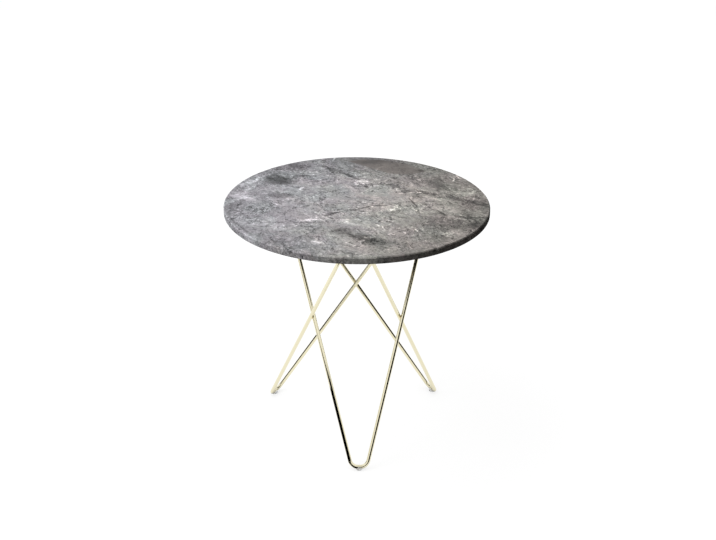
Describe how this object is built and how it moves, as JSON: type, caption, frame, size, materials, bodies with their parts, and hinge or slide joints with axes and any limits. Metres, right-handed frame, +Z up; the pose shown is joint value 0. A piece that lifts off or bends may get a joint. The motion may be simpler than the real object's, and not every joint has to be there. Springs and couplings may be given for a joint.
{
  "type": "side table",
  "caption": "Round marble-topped side table on an interlaced frame of bent polished brass rod with hairpin feet.",
  "frame": {"origin": "on the floor, under the middle of the round top", "axes": "+Z up through the middle of the top; the front foot lies towards -Y, the right foot towards +X and +Y, the left foot towards -X and +Y"},
  "size_m": [0.8, 0.7999, 0.752],
  "materials": {
    "marble": "honed grey marble with cloudy bands and thin pale veins",
    "polished_brass": "polished",
    "braze": "dressed and polished braze metal",
    "plate_brass": "brushed",
    "pad_rubber": "matt",
    "screw_steel": "turned stainless steel",
    "insert_brass": "turned",
    "clear_plastic": "clear moulded plastic"
  },
  "bodies": {
    "root": {"table_top": "marble", "leg_rod_front": "polished_brass", "crossing_braze_right": "braze", "plate_braze_front": "braze", "mount_plate_front": "plate_brass", "plate_pad_front": "pad_rubber", "plate_screws_front": "screw_steel", "stone_inserts_front": "insert_brass", "floor_glide_front": "clear_plastic", "leg_rod_right": "polished_brass", "crossing_braze_back": "braze", "plate_braze_right": "braze", "mount_plate_right": "plate_brass", "plate_pad_right": "pad_rubber", "plate_screws_right": "screw_steel", "stone_inserts_right": "insert_brass", "floor_glide_right": "clear_plastic", "leg_rod_left": "polished_brass", "crossing_braze_left": "braze", "plate_braze_left": "braze", "mount_plate_left": "plate_brass", "plate_pad_left": "pad_rubber", "plate_screws_left": "screw_steel", "stone_inserts_left": "insert_brass", "floor_glide_left": "clear_plastic"}
  },
  "joints": []
}
